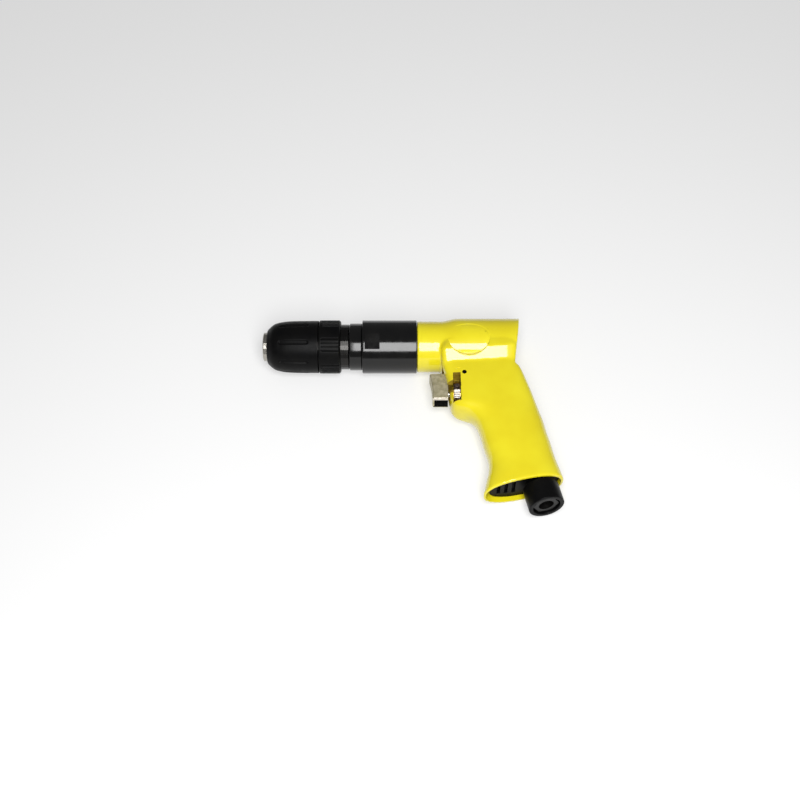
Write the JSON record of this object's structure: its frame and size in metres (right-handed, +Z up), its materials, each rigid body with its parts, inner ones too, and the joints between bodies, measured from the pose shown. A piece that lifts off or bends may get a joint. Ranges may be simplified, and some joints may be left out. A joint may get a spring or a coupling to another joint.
{
  "type": "pistol-grip air drill",
  "caption": "Reversible pistol-grip air drill with a keyless chuck, a sliding trigger, a reverse lever and an exhaust deflector round its air inlet.",
  "frame": {"origin": "centre of the base of the bounding box, with the drill lying on its side on the floor", "axes": "+X along the barrel from the chuck's nose to the rear of the housing, -Y towards the lower end of the handle, +Z up and out of the side that has the reverse lever"},
  "size_m": [0.2332, 0.1746, 0.044],
  "materials": {
    "yellow_enamel": "gloss",
    "black_enamel": "gloss",
    "black_plastic": "satin",
    "machined_steel": "satin",
    "bright_steel": "polished",
    "dark_steel": "satin",
    "ground_cast_iron": "satin",
    "brass": "satin",
    "cast_aluminium": "cast, satin",
    "rubber": "matte",
    "felt": "matte",
    "vane_laminate": "matte"
  },
  "bodies": {
    "housing": {"motor_housing": "yellow_enamel", "gear_case": "black_enamel", "ring_gear": "machined_steel", "spindle_cap": "black_enamel", "spindle_bearing_front": "machined_steel", "spindle_bearing_rear": "machined_steel", "rotor_bearing_front": "machined_steel", "rotor_bearing_rear": "machined_steel", "bearing_spacer": "machined_steel", "front_end_plate": "ground_cast_iron", "rear_end_plate": "ground_cast_iron", "cylinder_liner": "ground_cast_iron", "throttle_bushing": "brass", "cross_pin": "dark_steel", "inlet_bushing": "machined_steel", "inlet_screen": "brass", "inlet_o_ring": "rubber", "exhaust_plate": "black_plastic", "silencer_felt": "felt", "valve_spring": "machined_steel"},
    "spindle": {"spindle": "machined_steel", "planet_pin_2_1": "machined_steel", "planet_pin_2_2": "machined_steel", "planet_pin_2_3": "machined_steel", "chuck_body": "machined_steel", "rear_sleeve": "black_plastic", "chuck_screw": "dark_steel"},
    "chuck_sleeve": {"front_sleeve": "black_plastic", "jaw_nut": "brass"},
    "carrier": {"first_carrier": "machined_steel", "planet_pin_1_1": "machined_steel", "planet_pin_1_2": "machined_steel", "planet_pin_1_3": "machined_steel"},
    "rotor": {"rotor": "dark_steel", "vane_1": "vane_laminate", "vane_2": "vane_laminate", "vane_3": "vane_laminate", "vane_4": "vane_laminate", "vane_5": "vane_laminate"},
    "trigger": {"trigger": "cast_aluminium", "trigger_stem": "machined_steel", "throttle_valve": "rubber"},
    "reverse": {"reverse_valve": "brass", "reverse_lever": "bright_steel", "lever_screw": "dark_steel"},
    "deflector": {"exhaust_deflector": "black_plastic"},
    "jaw_1": {"jaw_1": "machined_steel"},
    "planet_1_1": {"planet_gear_1_1": "machined_steel"},
    "planet_2_1": {"planet_gear_2_1": "machined_steel"},
    "jaw_2": {"jaw_2": "machined_steel"},
    "planet_1_2": {"planet_gear_1_2": "machined_steel"},
    "planet_2_2": {"planet_gear_2_2": "machined_steel"},
    "jaw_3": {"jaw_3": "machined_steel"},
    "planet_1_3": {"planet_gear_1_3": "machined_steel"},
    "planet_2_3": {"planet_gear_2_3": "machined_steel"}
  },
  "joints": [
    {"name": "spindle_spin", "type": "hinge", "parent": "housing", "child": "spindle", "pos_m": [-0.11657, 0.06432, 0.02199], "axis": [1, 0, 0], "continuous": true},
    {"name": "planet_2_1_spin", "type": "hinge", "parent": "spindle", "child": "planet_2_1", "pos_m": [-0.11657, 0.07481, 0.0224], "axis": [1, 0, 0], "continuous": true},
    {"name": "planet_2_2_spin", "type": "hinge", "parent": "spindle", "child": "planet_2_2", "pos_m": [-0.11657, 0.05872, 0.03087], "axis": [1, 0, 0], "continuous": true},
    {"name": "planet_2_3_spin", "type": "hinge", "parent": "spindle", "child": "planet_2_3", "pos_m": [-0.11657, 0.05943, 0.0127], "axis": [1, 0, 0], "continuous": true},
    {"name": "carrier_spin", "type": "hinge", "parent": "housing", "child": "carrier", "pos_m": [-0.11657, 0.06432, 0.02199], "axis": [1, 0, 0], "continuous": true},
    {"name": "planet_1_1_spin", "type": "hinge", "parent": "carrier", "child": "planet_1_1", "pos_m": [-0.11657, 0.07481, 0.0224], "axis": [1, 0, 0], "continuous": true},
    {"name": "planet_1_2_spin", "type": "hinge", "parent": "carrier", "child": "planet_1_2", "pos_m": [-0.11657, 0.05872, 0.03087], "axis": [1, 0, 0], "continuous": true},
    {"name": "planet_1_3_spin", "type": "hinge", "parent": "carrier", "child": "planet_1_3", "pos_m": [-0.11657, 0.05943, 0.0127], "axis": [1, 0, 0], "continuous": true},
    {"name": "rotor_spin", "type": "hinge", "parent": "housing", "child": "rotor", "pos_m": [-0.11657, 0.06432, 0.02199], "axis": [1, 0, 0], "continuous": true},
    {"name": "chuck_close", "type": "hinge", "parent": "spindle", "child": "chuck_sleeve", "pos_m": [-0.11657, 0.06432, 0.02199], "axis": [1, 0, 0], "range_deg": [0, 4680]},
    {"name": "jaw_1_slide", "type": "slide", "parent": "spindle", "child": "jaw_1", "axis": [-0.9537, -0.3005, -0.0118], "range_m": [0, 0.0197]},
    {"name": "jaw_2_slide", "type": "slide", "parent": "spindle", "child": "jaw_2", "axis": [-0.9537, 0.1604, -0.2543], "range_m": [0, 0.0197]},
    {"name": "jaw_3_slide", "type": "slide", "parent": "spindle", "child": "jaw_3", "axis": [-0.9537, 0.14, 0.2661], "range_m": [0, 0.0197]},
    {"name": "trigger_pull", "type": "slide", "parent": "housing", "child": "trigger", "axis": [1, 0, 0], "range_m": [0, 0.0034], "stiffness_N_per_m": 800, "springref_m": -0.004, "deforming": ["valve_spring"]},
    {"name": "reverse_turn", "type": "hinge", "parent": "housing", "child": "reverse", "pos_m": [-0.11657, 0.01736, 0.02015], "axis": [-1, 0, 0], "range_deg": [0, 56]},
    {"name": "deflector_turn", "type": "hinge", "parent": "housing", "child": "deflector", "pos_m": [0.10247, -0.08456, 0.01615], "axis": [-0.2181, 0.9752, 0.0382], "continuous": true}
  ],
  "couplings": [
    {"joint": "planet_2_1_spin", "follows": "spindle_spin", "ratio": -2.6667},
    {"joint": "planet_2_2_spin", "follows": "spindle_spin", "ratio": -2.6667},
    {"joint": "planet_2_3_spin", "follows": "spindle_spin", "ratio": -2.6667},
    {"joint": "carrier_spin", "follows": "spindle_spin", "ratio": 5},
    {"joint": "planet_1_1_spin", "follows": "spindle_spin", "ratio": -13.333},
    {"joint": "planet_1_2_spin", "follows": "spindle_spin", "ratio": -13.333},
    {"joint": "planet_1_3_spin", "follows": "spindle_spin", "ratio": -13.333},
    {"joint": "rotor_spin", "follows": "spindle_spin", "ratio": 25},
    {"joint": "jaw_1_slide", "follows": "chuck_close", "m_per_rad": 0.00024118},
    {"joint": "jaw_2_slide", "follows": "chuck_close", "m_per_rad": 0.00024118},
    {"joint": "jaw_3_slide", "follows": "chuck_close", "m_per_rad": 0.00024118}
  ]
}
